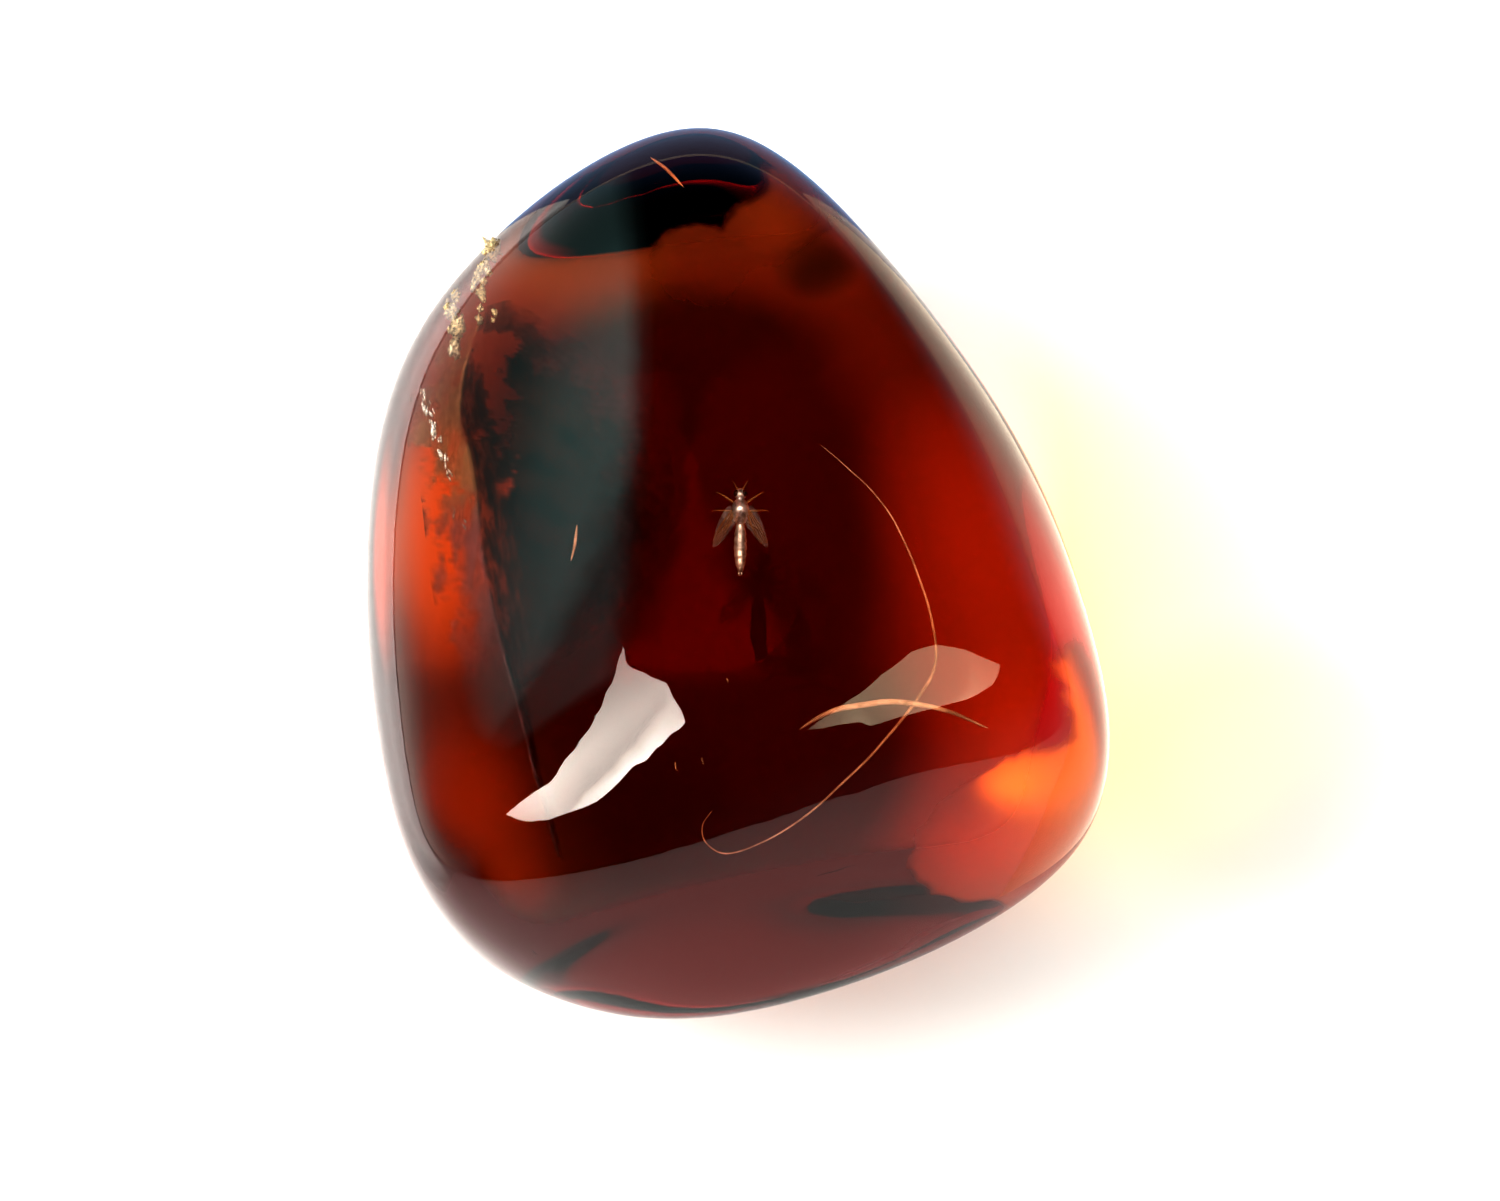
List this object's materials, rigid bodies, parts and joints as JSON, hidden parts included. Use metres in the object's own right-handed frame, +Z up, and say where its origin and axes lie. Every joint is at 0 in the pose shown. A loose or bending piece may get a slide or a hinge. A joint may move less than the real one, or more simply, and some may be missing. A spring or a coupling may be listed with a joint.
{
  "type": "insect in amber",
  "caption": "Tumbled egg-shaped pebble of clear dark amber lying on its flattened side, with a small gnat and fine fibres sealed under its crown.",
  "frame": {"origin": "middle of the pebble's box, on the surface that it lies on", "axes": "+Y along the pebble towards its narrow end, +Z up through the crown that the gnat lies under, +X across it to the steeper side"},
  "size_m": [0.0198, 0.0239, 0.0127],
  "materials": {
    "amber": "polished, clear dark cherry-red amber",
    "gnat": "brown chitin with a silvery film of trapped air",
    "fibre": "pale translucent plant fibre"
  },
  "bodies": {
    "root": {"amber_lower": "amber", "amber_upper": "amber", "gnat": "gnat", "long_thread": "fibre", "cross_fibre": "fibre", "top_fibre": "fibre", "side_fibre": "fibre"}
  },
  "joints": []
}
